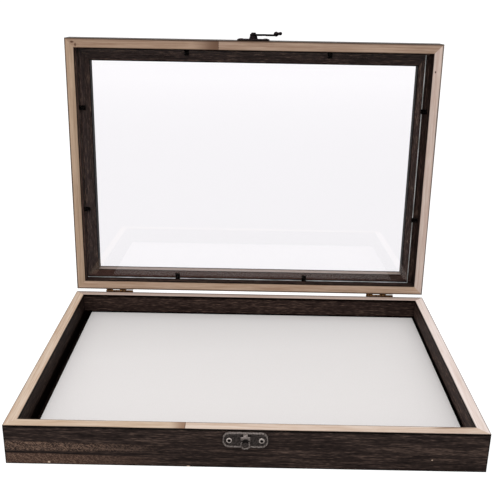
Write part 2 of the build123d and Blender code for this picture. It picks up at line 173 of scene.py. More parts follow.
glow = add(tree, "Math", {0: bright, 1: glow}, operation="MULTIPLY")
lit, glowing, in_metal = [linear(shade) for shade in TABLE_WHITE]
paint = add(tree, "Mix", {"Factor": bright, "A": lit, "B": glowing}, data_type="RGBA")
paint = add(tree, "Mix", {"Factor": in_front, "A": paint, "B": in_metal}, data_type="RGBA")
plain = add(tree, "BsdfDiffuse", {"Color": paint})
white = add(tree, "Emission", {"Color": linear("#FFFFFF"), "Strength": glow})
add(tree, "OutputMaterial", {"Surface": add(tree, "AddShader", {0: plain, 1: white})})

form = bmesh.new()
bmesh.ops.create_grid(form, x_segments=1, y_segments=1, size=TABLE_HALF)
mesh = bpy.data.meshes.new("table_top")
form.to_mesh(mesh)
form.free()
mesh.materials.append(table_paint)
table = bpy.data.objects.new("table_top", mesh)
bpy.context.scene.collection.objects.link(table)

# ---------------------------------------------------------------- tray and lid boards
# Eight mitred softwood boards, four round the tray and four round the lid, glued at the
# corners. They are stained nearly black; only the rims that meet are left as raw wood.

HALF_WIDTH, HALF_DEPTH = 175.0, 123.0
BOARD = 8.6
LIP_WIDTH = {"front": 20.7, "back": 17.6, "left": 20.7, "right": 20.7}  # from the lid's outside to the window
LIP_THICKNESS = 9.3
PAD_TOP = 14.0
RIM_LINE = 32.2  # the height where the two rims meet
TRAY_UNDERSIDE, LID_TOP = 0.0, 53.4
HINGE_PIN = Vector((0, 124.9, RIM_LINE))
OPEN_ANGLE = radians(92.15)
BOARD_ARRIS = 0.3  # eased corner of a sanded board
WELD = 0.002  # points closer than this, in millimetres, are one
ONE_PLANE = radians(0.4)  # most bend between two faces that are one flat
CURVED = radians(0.5)  # least bend inside a curved face
CORNER = radians(28)  # least bend that counts as a corner
SHARP = radians(35)  # least bend that is shaded as a sharp line


def shut_turn(body):
    """The turn and shift, in millimetres, that take a piece from the open case to the shut one."""
    turn = Matrix.Rotation(OPEN_ANGLE, 3, "X") if body != "tray" else Matrix.Identity(3)
    return turn, HINGE_PIN - turn @ HINGE_PIN


def softened(node, piece_name, body, finishes, eased, finish_at=None):
    """A copy of a part with its corners eased, shown in its place.

    eased gives the width for a corner, from its direction and middle on the shut case.
    finish_at gives which finish a face takes, from its normal and middle on the shut case.
    """
    turn, shift = shut_turn(body)
    form = bmesh.new()
    form.from_mesh(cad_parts[node].data)
    bmesh.ops.remove_doubles(form, verts=form.verts, dist=WELD * MM)
    bmesh.ops.dissolve_limit(form, angle_limit=ONE_PLANE, verts=form.verts, edges=form.edges)
    flats = []
    for face in form.faces:
        bends = [edge.calc_face_angle() for edge in face.edges if edge.is_manifold]
        if not any(CURVED < bend < CORNER for bend in bends):
            flats.append((face.normal.copy(), face.normal.dot(face.verts[0].co)))
    corners = {}
    for edge in form.edges:
        if edge.is_manifold and edge.calc_face_angle_signed() > CORNER:
            along = turn @ (edge.verts[1].co - edge.verts[0].co).normalized()
            middle = turn @ (edge.verts[0].co + edge.verts[1].co) / 2 / MM + shift
            width = eased(along, middle)
            if width:
                corners.setdefault(width, []).append(edge)
    for width, edges in corners.items():
        bmesh.ops.bevel(
            form, geom=[edge for edge in edges if edge.is_valid], offset=width * MM, affect="EDGES",
            segments=3, profile=0.5, material=-1, clamp_overlap=True,
        )
    smooth = []
    for face in form.faces:
        # the corners and the curved faces are shaded smooth, and the flat ones stay flat
        face.normal_update()
        level = face.normal.dot(face.verts[0].co)
        on_flat = [abs(at - level) < WELD * MM for way, at in flats if face.normal.dot(way) > 0.99999]
        smooth.append(not any(on_flat))
        if finish_at:
            face.material_index = finish_at(turn @ face.normal, turn @ face.calc_center_median() / MM + shift)
    mesh = bpy.data.meshes.new(piece_name)
    form.to_mesh(mesh)
    form.free()
    mesh.attributes.remove(mesh.attributes["custom_normal"])
    mesh.set_sharp_from_angle(angle=SHARP)
    mesh.polygons.foreach_set("use_smooth", smooth)
    for finish in finishes:
        mesh.materials.append(finish)
    piece = bpy.data.objects.new(piece_name, mesh)
    bpy.context.scene.collection.objects.link(piece)
    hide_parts(node)
    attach(piece, body)
    return piece


def shut_axes(tree, body, grain="X"):
    """Position in millimetres on the shut case, turned so that the grain runs along X."""
    turn, shift = shut_turn(body)
    if grain == "Y":
        quarter = Matrix.Rotation(radians(-90), 3, "Z")
        turn, shift = quarter @ turn, quarter @ shift
    place = add(tree, "TexCoord").outputs["Object"]
    shut = add(tree, "Mapping", {"Vector": place, "Location": shift * MM, "Rotation": turn.to_euler("XYZ")})
    return add(tree, "VectorMath", {0: shut, "Scale": 1000.0}, operation="SCALE")


def grain_marks(tree, axes, seed, length, width, detail=2.0, slant=0.0):
    """Noise drawn out along the grain: one mark is about length by width, in millimetres.

    The seed moves the wood along, so that no two boards show the same marks.
    """
    moved = add(tree, "VectorMath", {0: axes, 1: (seed * 97.0, seed * 13.0, seed * 41.0)}, operation="ADD")
    if slant:
        moved = add(tree, "Mapping", {"Vector": moved, "Rotation": (0, radians(slant), 0)})
    size = (1 / length, 1 / width, 1 / width)
    scaled = add(tree, "VectorMath", {0: moved, 1: size}, operation="MULTIPLY")
    return add(tree, "TexNoise", {"Vector": scaled, "Scale": 1.0, "Detail": detail, "Roughness": 0.55})


def from_oval(tree, axes, middle, stretch):
    """How far a point lies from an oval's middle: 1 on the oval itself.

    stretch is 1 over half the oval's size each way, and 0 for the way that it is drawn along.
    """
    offset = add(tree, "VectorMath", {0: axes, 1: middle}, operation="SUBTRACT")
    offset = add(tree, "VectorMath", {0: offset, 1: stretch}, operation="MULTIPLY")
    return add(tree, "VectorMath", {0: offset}, operation="LENGTH").outputs["Value"]


OVAL_EDGE = (1.1, 0.8)  # where an oval mark begins and where it is full
DARK_TONES = (0.86, 1.14)  # the grain's tone where the stain is darkest and where it is brown
PALE_TONES = (1.12, 1.38)  # the same where the pale streaks begin and where they are full
CURL_FADE = (-60.0, -125.0)  # x on the tray's front where the curl begins and where it is full
CURL_DROPS = 0.006  # how much its height falls for each millimetre along the board
CURL_HEIGHT = 16.5
CURL_HALF = (4.5, 2.5)  # half its height, where it begins and where it is full
LOW_BAND = (11.0, 9.4)  # height under which the wood is paler, where that begins and is full
SEAM = (11.2, 0.3)  # dark line over that band: height and half its width
FLECK = (2.2, 0.6)  # length and width
FLECK_SLANT = 38.0
RIM_STAIN = (0.5, 0.32)  # under 1 widens the black line beside the rims, outside and inside
REFLECTION_FADE = (40.0, 125.0)  # x where the painted reflection on the lip begins to fade and where that ends
REFLECTION_SHARE = (0.85, 0.3)  # share of the painted reflection's colour at those two
SHEEN = {"outside": 0.15, "inside": 0.02, "lid_top": 0.075}  # specular levels: the sides were rubbed most


def stained_wood(name, body, grain, seed, stain=1.0, wall=1.0, lip=1.0, lip_width=0.0, figured=False,
                 chips=(), reflection_colours=None, corner_strip=0.0, sheen=SHEEN["outside"]):
    """Softwood under a brown-black stain, rubbed along the grain: satin, with fine pale streaks.

    stain above 1 is a paler, more dilute coat. The factors for the board's inner face and for the
    face round the window lighten or darken them, as painted light and shade for how light falls on
    each board. The reflection colours are a painted reflection of the pad in the pane, on that face
    and on the window's own edge, and corner_strip is the width of that face beside the board's
    inner face that is left without the painted light and reflection, dark as painted shade. sheen
    is the specular level, a plain number for each finish. The streaks are drawn about twice as wide
    as real ones, so that they show.
    """
    material, tree = new_finish(name)
    axes = shut_axes(tree, body, grain)
    part = add(tree, "SeparateXYZ", {"Vector": axes})
    bands = grain_marks(tree, axes, seed, 110.0, 4.0)
    streaks = grain_marks(tree, axes, seed + 1, 16.0, 0.8)
    lines = grain_marks(tree, axes, seed + 2, 5.0, 0.5, 1.0)
    tone = add(tree, "Math", {0: bands, 1: 0.35, 2: streaks}, operation="MULTIPLY_ADD")
    tone = add(tree, "Math", {0: lines, 1: 0.8, 2: tone}, operation="MULTIPLY_ADD")
    brown = add(tree, "MapRange", {"Value": tone, "From Min": DARK_TONES[0], "From Max": DARK_TONES[1]})
    pale = add(tree, "MapRange", {"Value": tone, "From Min": PALE_TONES[0], "From Max": PALE_TONES[1]},
               interpolation_type="SMOOTHSTEP")
    colour = add(tree, "Mix", {"Factor": brown, "A": linear("#1F1614", stain),
                               "B": linear("#352925", stain)}, data_type="RGBA")
    colour = add(tree, "Mix", {"Factor": pale, "A": colour, "B": linear("#5C4A41", stain)},
                 data_type="RGBA")
    if figured:
        # a band of short crossing flecks, where the board was cut through a curl in the grain
        rising = grain_marks(tree, axes, seed + 3, *FLECK, 1.0, slant=FLECK_SLANT)
        falling = grain_marks(tree, axes, seed + 4, *FLECK, 1.0, slant=-FLECK_SLANT)
        flecks = add(tree, "Math", {0: rising, 1: falling}, operation="MAXIMUM")
        flecks = add(tree, "MapRange", {"Value": flecks, "From Min": 0.50, "From Max": 0.66})
        fade = add(tree, "MapRange", {"Value": part.outputs["X"], "From Min": CURL_FADE[0],
                                      "From Max": CURL_FADE[1]})
        drift = add(tree, "Math", {0: part.outputs["X"], 1: CURL_DROPS, 2: part.outputs["Z"]},
                    operation="MULTIPLY_ADD")
        drift = add(tree, "Math", {0: bands, 1: 5.0, 2: drift}, operation="MULTIPLY_ADD")
        band = add(tree, "Math", {0: drift, 1: -CURL_HEIGHT}, operation="ADD")
        band = add(tree, "Math", {0: band}, operation="ABSOLUTE")
        band = add(tree, "MapRange", {"Value": band, "From Min": CURL_HALF[0], "From Max": CURL_HALF[1]},
                   interpolation_type="SMOOTHSTEP")
        low = add(tree, "MapRange", {"Value": drift, "From Min": LOW_BAND[0], "From Max": LOW_BAND[1],
                                     "To Max": 0.75}, interpolation_type="SMOOTHSTEP")
        here = add(tree, "Math", {0: band, 1: low}, operation="MAXIMUM")
        here = add(tree, "Math", {0: here, 1: fade}, operation="MULTIPLY")
        flecked = add(tree, "Math", {0: flecks, 1: here}, operation="MULTIPLY")
        low = add(tree, "Math", {0: low, 1: fade}, operation="MULTIPLY")
        colour = add(tree, "Mix", {"Factor": low, "A": colour, "B": linear("#4C372E")}, data_type="RGBA")
        colour = add(tree, "Mix", {"Factor": flecked, "A": colour, "B": linear("#7E6454")}, data_type="RGBA")
        seam = add(tree, "Math", {0: drift, 1: SEAM[0], 2: SEAM[1]}, operation="COMPARE")
        seam = add(tree, "Math", {0: seam, 1: fade}, operation="MULTIPLY")
        colour = add(tree, "Mix", {"Factor": seam, "A": colour, "B": linear("#140D0B")}, data_type="RGBA")
    half = HALF_DEPTH if grain == "X" else HALF_WIDTH
    length = HALF_WIDTH if grain == "X" else HALF_DEPTH
    side = add(tree, "Math", {0: part.outputs["Y"]}, operation="ABSOLUTE")
    end = add(tree, "Math", {0: part.outputs["X"]}, operation="ABSOLUTE")
    rim = add(tree, "Math", {0: part.outputs["Z"], 1: RIM_LINE}, operation="SUBTRACT")
    rim = add(tree, "Math", {0: rim}, operation="ABSOLUTE")
    inner = add(tree, "Math", {0: side, 1: half - BOARD, 2: 0.2}, operation="COMPARE")
    widening = add(tree, "Mix", {"Factor": inner, "A": RIM_STAIN[0], "B": RIM_STAIN[1]})
    rim = add(tree, "Math", {0: rim, 1: widening}, operation="MULTIPLY")
    # painted light and shade: the inner face is lightened or darkened by its factor
    coat = add(tree, "Math", {0: inner, 1: wall - 1.0, 2: 1.0}, operation="MULTIPLY_ADD")
    colour = add(tree, "VectorMath", {0: colour, "Scale": coat}, operation="SCALE")
    flat = add(tree, "Math", {0: part.outputs["Z"], 1: TRAY_UNDERSIDE if body == "tray" else LID_TOP},
               operation="SUBTRACT")
    flat = add(tree, "Math", {0: flat}, operation="ABSOLUTE")
    outside = add(tree, "Math", {0: half, 1: side}, operation="SUBTRACT")
    beyond = add(tree, "Math", {0: length, 1: end}, operation="SUBTRACT")
    lower = add(tree, "Math", {0: flat, 1: outside}, operation="MAXIMUM")
    upright = add(tree, "Math", {0: beyond, 1: outside}, operation="MAXIMUM")
    near = add(tree, "Math", {0: lower, 1: upright}, operation="MINIMUM")
    near = add(tree, "Math", {0: near, 1: 0.25}, operation="ADD")
    near = add(tree, "Math", {0: near, 1: rim}, operation="MINIMUM")
    if body == "tray":
        # painted shade: the inner face is painted black just above the pad, where the pad meets it
        shade_above_pad = add(tree, "Math", {0: inner, 1: -100.0, 2: 100.0 - PAD_TOP}, operation="MULTIPLY_ADD")
        shade_above_pad = add(tree, "Math", {0: part.outputs["Z"], 1: shade_above_pad}, operation="ADD")
        near = add(tree, "Math", {0: near, 1: shade_above_pad}, operation="MINIMUM")
    if body == "lid":
        # the window's edge is painted black, as painted shade, and the face behind the pane is lightened by
        # its factor, as painted light
        window = add(tree, "Math", {0: side, 1: half - lip_width}, operation="SUBTRACT")
        near = add(tree, "Math", {0: near, 1: window}, operation="MINIMUM")
        on_lip = add(tree, "Math", {0: part.outputs["Z"], 1: LID_TOP - LIP_THICKNESS, 2: 0.3},
                     operation="COMPARE")
        in_corner = add(tree, "Math", {0: side, 1: half - BOARD - corner_strip}, operation="GREATER_THAN")
        lip_lightening = add(tree, "Mix", {"Factor": in_corner, "A": lip - 1.0, "B": 0.0})
        coat = add(tree, "Math", {0: on_lip, 1: lip_lightening, 2: 1.0}, operation="MULTIPLY_ADD")
        colour = add(tree, "VectorMath", {0: colour, "Scale": coat}, operation="SCALE")
    if reflection_colours:
        # painted reflection of the pad in the pane, on the lip and on the window's own edge, up to a band of
        # painted shade along the edge's outer corner
        on_edge = add(tree, "Math", {0: side, 1: half - lip_width, 2: 0.05}, operation="COMPARE")
        reflection_amount = add(tree, "MapRange", {"Value": part.outputs["X"], "From Min": REFLECTION_FADE[0],
                                       "From Max": REFLECTION_FADE[1], "To Min": REFLECTION_SHARE[0],
                                       "To Max": REFLECTION_SHARE[1]})
        reflection_amount = add(tree, "Mix", {"Factor": in_corner, "A": reflection_amount, "B": 0.0})
        reflection_amount = add(tree, "Math", {0: on_lip, 1: reflection_amount}, operation="MULTIPLY")
        colour = add(tree, "Mix", {"Factor": reflection_amount, "A": colour, "B": linear(reflection_colours[0])}, data_type="RGBA")
        colour = add(tree, "Mix", {"Factor": on_edge, "A": colour, "B": linear(reflection_colours[1])}, data_type="RGBA")
        edge_shade = add(tree, "Math", {0: flat, 1: 0.4}, operation="MULTIPLY")
        near = add(tree, "Mix", {"Factor": on_edge, "A": near, "B": edge_shade})
    for x, z, long, high in chips:
        # a chip through the stain to the bare wood
        reach = from_oval(tree, axes, (x, -HALF_DEPTH, z), (1 / long, 1.0, 1 / high))
        chip = add(tree, "MapRange", {"Value": reach, "From Min": OVAL_EDGE[0], "From Max": OVAL_EDGE[1]})
        near = add(tree, "Math", {0: chip, 1: 4.0, 2: near}, operation="MULTIPLY_ADD")
        colour = add(tree, "Mix", {"Factor": chip, "A": colour, "B": linear("#C8AE98")}, data_type="RGBA")
    # the black line: along the rims and the outer corners, and painted shade along the window's edge and
    # above the pad
    near = add(tree, "Math", {0: lines, 1: 0.8, 2: near}, operation="MULTIPLY_ADD")
    black_line = add(tree, "MapRange", {"Value": near, "From Min": 0.9, "From Max": 1.6, "To Min": 1.0,
                                   "To Max": 0.0})
    colour = add(tree, "Mix", {"Factor": black_line, "A": colour, "B": linear("#080302")}, data_type="RGBA")
    gloss = add(tree, "MapRange", {"Value": tone, "From Min": 0.8, "From Max": 1.4, "To Min": 0.44,
                                   "To Max": 0.56})
    relief = add(tree, "Bump", {"Strength": 0.5, "Distance": 0.0001, "Height": tone})
    wood = add(tree, "BsdfPrincipled", {"Base Color": colour, "Roughness": gloss, "Specular IOR Level": sheen,
                                        "Normal": relief})
    add(tree, "OutputMaterial", {"Surface": wood})
    return material


def raw_wood(name, body, grain, seed, pale, tan, lean=(1.0, 1.0), joint=None, marks=(), outer_widening=0.0):
    """Bare planed softwood: matt, with fine straight grain, and stain soaked in along both edges.

    joint is a finger joint in the board's length: x, the length of the darker wood before it,
    that wood's colour, and the tint of all the wood before it. marks are small knots and dark
    streaks: x, y, half the length, half the width, and colour.
    lean is how light it is along the inner and the outer edge, and the outer widening is how
    much wider, in millimetres, the dark band along the outer edge is drawn.
    """
    material, tree = new_finish(name)
    axes = shut_axes(tree, body, grain)
    part = add(tree, "SeparateXYZ", {"Vector": axes})
    bands = grain_marks(tree, axes, seed, 60.0, 4.0, 3.0)
    streaks = grain_marks(tree, axes, seed + 1, 50.0, 1.2, 3.0)
    fibres = grain_marks(tree, axes, seed + 2, 8.0, 0.5)
    tone = add(tree, "Math", {0: bands, 1: 0.8, 2: streaks}, operation="MULTIPLY_ADD")
    tone = add(tree, "Math", {0: fibres, 1: 0.5, 2: tone}, operation="MULTIPLY_ADD")
    tone = add(tree, "MapRange", {"Value": tone, "From Min": 0.90, "From Max": 1.35})
    colour = add(tree, "Mix", {"Factor": tone, "A": linear(tan), "B": linear(pale)}, data_type="RGBA")
    if joint:
        # a finger joint, where the length was made up from two pieces of unlike wood
        at, length, shade, other = joint
        line = add(tree, "Math", {0: fibres, 1: 1.4, 2: part.outputs["X"]}, operation="MULTIPLY_ADD")
        before = add(tree, "MapRange", {"Value": line, "From Min": at - length, "From Max": at},
                     interpolation_type="SMOOTHSTEP")
        piece = add(tree, "Math", {0: line, 1: at + 0.7}, operation="LESS_THAN")
        tint = add(tree, "Mix", {"Factor": piece, "A": linear("#FFFFFF"), "B": linear(other)},
                   data_type="RGBA")
        colour = add(tree, "Mix", {"Factor": 1.0, "A": colour, "B": tint}, data_type="RGBA",
                     blend_type="MULTIPLY")
        before = add(tree, "Math", {0: before, 1: piece}, operation="MULTIPLY")
        colour = add(tree, "Mix", {"Factor": before, "A": colour, "B": linear(shade)}, data_type="RGBA")
        glue = add(tree, "Math", {0: line, 1: at + 0.7, 2: 0.3}, operation="COMPARE")
        glue = add(tree, "Math", {0: glue, 1: 0.6}, operation="MULTIPLY")
        colour = add(tree, "Mix", {"Factor": glue, "A": colour, "B": linear("#4A342A")}, data_type="RGBA")
    for x, y, long, wide, shade in marks:
        # a small knot or a dark streak: an oval with a ragged edge
        reach = from_oval(tree, axes, (x, y, 0), (1 / long, 1 / wide, 0))
        reach = add(tree, "Math", {0: fibres, 1: 0.9, 2: reach}, operation="MULTIPLY_ADD")
        knot = add(tree, "MapRange", {"Value": reach, "From Min": 1.5, "From Max": 0.9})
        colour = add(tree, "Mix", {"Factor": knot, "A": colour, "B": linear(shade)}, data_type="RGBA")
    half = HALF_DEPTH if grain == "X" else HALF_WIDTH
    side = add(tree, "Math", {0: part.outputs["Y"]}, operation="ABSOLUTE")
    light = add(tree, "MapRange", {"Value": side, "From Min": half - BOARD, "From Max": half,
                                   "To Min": lean[0], "To Max": lean[1]})
    colour = add(tree, "VectorMath", {0: colour, "Scale": light}, operation="SCALE")
    side = add(tree, "Math", {0: side, 1: half - BOARD / 2}, operation="SUBTRACT")
    outward = add(tree, "Math", {0: side, 1: outer_widening}, operation="ADD")
    side = add(tree, "Math", {0: side}, operation="ABSOLUTE")
    side = add(tree, "Math", {0: side, 1: outward}, operation="MAXIMUM")
    side = add(tree, "Math", {0: streaks, 1: 1.6, 2: side}, operation="MULTIPLY_ADD")
    soaked = add(tree, "MapRange", {"Value": side, "From Min": BOARD / 2, "From Max": BOARD / 2 + 0.7,
                                    "To Max": 0.85})
    colour = add(tree, "Mix", {"Factor": soaked, "A": colour, "B": linear("#3E2C22")}, data_type="RGBA")
    relief = add(tree, "Bump", {"Strength": 0.4, "Distance": 0.0001, "Height": fibres})
    wood = add(tree, "BsdfPrincipled", {"Base Color": colour, "Roughness": 0.8, "Specular IOR Level": 0.3,
                                        "Normal": relief})
    add(tree, "OutputMaterial", {"Surface": wood})
    return material


# body, side, way of the grain, inner face and lip lightened or darkened as painted light and shade,
# bare wood's pale and tan colours, how light its inner and outer edges are, joint in the length, marks
BOARDS = (
    ("tray", "front", "X", 1.0, 1.0, "#DCCABC", "#C0A48E", (1.0, 1.0), (-44.3, 12.0, "#957660", "#F6F2E8"),
     [(150.0, -115.4, 15.0, 0.9, "#8E7460"), (139.0, -116.6, 7.0, 0.5, "#8E7460")]),
    ("tray", "back", "X", 1.0, 1.0, "#D0BDB4", "#B99E8E", (1.05, 0.6), None, []),
    ("tray", "left", "Y", 0.7, 1.0, "#D8C3B0", "#BE9E84", (1.0, 0.92), None, []),
    ("tray", "right", "Y", 1.3, 1.0, "#F0E2DC", "#DCC8BD", (1.0, 0.95), None, []),
    ("lid", "front", "X", 1.0, 2.0, "#B09683", "#917561", (1.05, 0.95), (-32.8, 26.0, "#6E5240", "#FCFAF6"),
     [(-168.0, -119.5, 2.2, 1.2, "#5E4232"), (-165.0, -117.0, 1.2, 1.8, "#5E4232")]),
    ("lid", "back", "X", 1.0, 2.2, "#C8AD97", "#A98A72", (1.0, 1.0), None, []),
    ("lid", "left", "Y", 2.6, 2.1, "#C2A78F", "#A68A72", (0.82, 1.05), None, []),
    ("lid", "right", "Y", 0.8, 2.8, "#DAC8BD", "#C2A89B", (0.9, 1.03), None,
     [(-98.0, -169.0, 1.3, 0.8, "#43291D"), (121.0, -167.6, 1.0, 2.0, "#6A4630")]),
)
# chips on the tray's front: x, z, half the length, half the height
CHIPS = [(-143.4, 1.8, 1.0, 0.8), (-42.0, 0.4, 1.4, 0.5), (134.8, 9.4, 0.6, 0.5)]
CORNER_STRIP = {"back": 1.8, "right": 4.8}  # the lip beside these walls that is left dark, without the lip's painted light and reflection, as painted shade
PAD_REFLECTION = ("#6A4E45", "#A8968C")  # painted reflection of the pad in the pane, on the hinge-side board's lip and on the window's edge beside it
OUTER_WIDENING = 0.7  # how much wider the dark band along the outer edge is drawn on the lid's rim and the tray's rim by the hinges


def board_arris(along, middle):
    return BOARD_ARRIS if max(abs(along.x), abs(along.y)) > 0.999 else 0


def board_face(normal, middle):
    """0 for a bare rim, 1 for the outer sides and the underside, 2 for inside, 3 for the lid's top."""
    if abs(normal.z) > 0.99 and abs(middle.z - RIM_LINE) < 0.5:
        return 0
    depth = min(HALF_WIDTH - abs(middle.x), HALF_DEPTH - abs(middle.y), middle.z - TRAY_UNDERSIDE)
    if depth < BOARD_ARRIS:
        return 1
    return 3 if LID_TOP - middle.z < BOARD_ARRIS else 2


for seed, (body, side, grain, wall, lip, pale, tan, lean, joint, marks) in enumerate(BOARDS):
    prefix = "base" if body == "tray" else "lid"
    front = (body, side) == ("tray", "front")
    reflection_colours = PAD_REFLECTION if (body, side) == ("lid", "back") else None
    outer_widening = OUTER_WIDENING if body == "lid" or side == "back" else 0.0
    finishes = [raw_wood(f"raw_wood_{body}_{side}", body, grain, 7 * seed, pale, tan, lean, joint, marks,
                         outer_widening)]
    for face, sheen in SHEEN.items():
        if body == "lid" or face != "lid_top":
            finishes.append(stained_wood(
                f"stained_wood_{body}_{side}_{face}", body, grain, 7 * seed, 1.0, wall, lip, LIP_WIDTH[side],
                front, CHIPS if front else (), reflection_colours, CORNER_STRIP.get(side, 0.0), sheen,
            ))
    softened(f"{prefix}_{side}_board", f"{body}_{side}", body, finishes, board_arris,
             board_face)

# ---------------------------------------------------------------- floor panel and brads
# A plywood sheet in the boards' rebate, pinned up into them with steel brads. Its inner face
# was stained with the boards, and the underside is bare.

PANEL_ARRIS = 0.2


def birch_plywood():
    """Thin birch plywood: pale and matt, with broad soft grain."""
    material, tree = new_finish("birch_plywood")
    axes = shut_axes(tree, "tray")
    broad = grain_marks(tree, axes, 61, 120.0, 14.0, 3.0)
    fine = grain_marks(tree, axes, 62, 14.0, 0.8, 3.0)
    tone = add(tree, "Math", {0: fine, 1: 0.5, 2: broad}, operation="MULTIPLY_ADD")
    tone = add(tree, "MapRange", {"Value": tone, "From Min": 0.55, "From Max": 1.0})
    colour = add(tree, "Mix", {"Factor": tone, "A": linear("#A9845E"), "B": linear("#D0B48E")},
                 data_type="RGBA")
    relief = add(tree, "Bump", {"Strength": 0.4, "Distance": 0.0001, "Height": fine})
    ply = add(tree, "BsdfPrincipled", {"Base Color": colour, "Roughness": 0.8, "Normal": relief})
    add(tree, "OutputMaterial", {"Surface": ply})
    return material


def zinc_plated_steel():
    """Zinc-plated steel: grey and softly bright, mottled with dull spots."""
    material, tree = new_finish("zinc_plated_steel")
    axes = shut_axes(tree, "tray")
    spots = add(tree, "TexNoise", {"Vector": axes, "Scale": 1.6, "Detail": 4.0})
    colour = add(tree, "Mix", {"Factor": spots, "A": linear("#77756F"), "B": linear("#BDBBB6")},
                 data_type="RGBA")
    gloss = add(tree, "MapRange", {"Value": spots, "To Min": 0.22, "To Max": 0.42})
    plated = add(tree, "BsdfPrincipled", {"Base Color": colour, "Metallic": 1.0, "Roughness": gloss})
    add(tree, "OutputMaterial", {"Surface": plated})
    return material


softened(
    "floor_panel", "plywood_floor", "tray",
    [birch_plywood(), stained_wood("stained_plywood", "tray", "X", 70, 0.4, sheen=SHEEN["inside"])],
    lambda along, middle: PANEL_ARRIS,
    lambda normal, middle: 1 if normal.z > 0.9 else 0,
)
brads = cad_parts["panel_brads"]
brads.data.materials.clear()
brads.data.materials.append(zinc_plated_steel())

# ---------------------------------------------------------------- pin pad
# A slab of closed-cell foam under pale brushed cloth, cut to lie in the tray with a
# finger's gap at the left. The cloth is drawn down over the edges, which rounds them.

PAD_EDGE = 1.3  # rounding of the cloth over the foam's edge
PAD_DROP = 0.4  # how far the cloth's edge pulls the foam down
DROP_REACH = 14.0  # how far in from the edge that shows
PAD_SLACK = 0.05  # unevenness of the cloth
PAD_WAVES = 25.0  # waves of it in a metre
PAD_GRID = (64, 44)
PAD_GREY = (30.0, 125.0, 0.9)  # where the painted shade towards the back left begins and ends, its end share


def brushed_cloth():
    """Short-napped grey-white cotton: matt, with a faint sheen and a fine even nap.

    It is painted greyer towards the back left, as painted shade.
    """
    material, tree = new_finish("brushed_cotton_cloth")
    axes = shut_axes(tree, "tray")
    nap = add(tree, "TexNoise", {"Vector": axes, "Scale": 1.2, "Detail": 4.0, "Roughness": 0.7})
    colour = add(tree, "Mix", {"Factor": nap, "A": linear("#DFDBDA"), "B": linear("#EBE7E6")},
                 data_type="RGBA")
    # painted shade: greyer towards the back left
    back_left_shade = add(tree, "VectorMath", {0: axes, 1: (-0.15, 0.9, 0.0)}, operation="DOT_PRODUCT")
    back_left_shade = add(tree, "MapRange", {"Value": back_left_shade.outputs["Value"], "From Min": PAD_GREY[0],
                                 "From Max": PAD_GREY[1], "To Min": 1.0, "To Max": PAD_GREY[2]})
    colour = add(tree, "VectorMath", {0: colour, "Scale": back_left_shade}, operation="SCALE")
    relief = add(tree, "Bump", {"Strength": 0.3, "Distance": 0.00015, "Height": nap})
    cloth = add(tree, "BsdfPrincipled", {"Base Color": colour, "Roughness": 0.9, "Specular IOR Level": 0.2,
                                         "Sheen Weight": 0.08, "Sheen Roughness": 0.5, "Normal": relief})
    add(tree, "OutputMaterial", {"Surface": cloth})
    return material


def white_foam():
    """Closed-cell foam: matt white with fine cells."""
    material, tree = new_finish("closed_cell_foam")
    axes = shut_axes(tree, "tray")
    cells = add(tree, "TexVoronoi", {"Vector": axes, "Scale": 1.2})
    colour = add(tree, "Mix", {"Factor": cells, "A": linear("#F0F0EE"), "B": linear("#D8D8D4")},
                 data_type="RGBA")
    relief = add(tree, "Bump", {"Strength": 0.5, "Distance": 0.0002, "Height": cells})
    foam = add(tree, "BsdfPrincipled", {"Base Color": colour, "Roughness": 0.85, "Normal": relief})
    add(tree, "OutputMaterial", {"Surface": foam})
    return material


low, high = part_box("pad_cover")
form = bmesh.new()
bmesh.ops.create_grid(form, x_segments=PAD_GRID[0], y_segments=PAD_GRID[1], size=0.5)
bmesh.ops.scale(form, vec=(high.x - low.x, high.y - low.y, 1), verts=form.verts)
bmesh.ops.translate(form, vec=((high.x + low.x) / 2, (high.y + low.y) / 2, high.z), verts=form.verts)
under = bmesh.ops.extrude_face_region(form, geom=list(form.faces), use_keep_orig=True)
under = [part for part in under["geom"] if isinstance(part, bmesh.types.BMVert)]
bmesh.ops.translate(form, vec=(0, 0, low.z - high.z), verts=under)
bmesh.ops.recalc_face_normals(form, faces=form.faces)
rounded = [edge for edge in form.edges if edge.is_manifold and edge.calc_face_angle() > radians(60)]
rounded = [edge for edge in rounded if max(vertex.co.z for vertex in edge.verts) > high.z - 1e-6]
bmesh.ops.bevel(form, geom=rounded, offset=PAD_EDGE * MM, affect="EDGES", segments=4, profile=0.5,
                material=-1)
for vertex in form.verts:
    place = vertex.co
    if place.z > low.z + 1e-5:
        inside = min(place.x - low.x, high.x - place.x, place.y - low.y, high.y - place.y) / MM
        sink = PAD_DROP * max(0.0, 1.0 - inside / DROP_REACH) ** 2
        place.z -= (sink + PAD_SLACK * (1.0 + noise.noise(place * PAD_WAVES))) * MM
mesh = bpy.data.meshes.new("pin_pad")
form.to_mesh(mesh)
form.free()
for polygon in mesh.polygons:
    polygon.use_smooth = True
mesh.set_sharp_from_angle(angle=radians(50))
mesh.materials.append(brushed_cloth())
pad = bpy.data.objects.new("pin_pad", mesh)
bpy.context.scene.collection.objects.link(pad)
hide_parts("pad_cover")
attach(pad, "tray")

foam_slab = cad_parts["pin_foam"]
foam_slab.data.materials.clear()
foam_slab.data.materials.append(white_foam())

# ---------------------------------------------------------------- glass pane
# 2 mm float glass laid on the lid's lip, a little short at the right. Its ground corners facing right
# and towards the hinges are painted bright as a highlight, the rest of its edges dark as painted shade.

PANE_ARRIS = 0.5


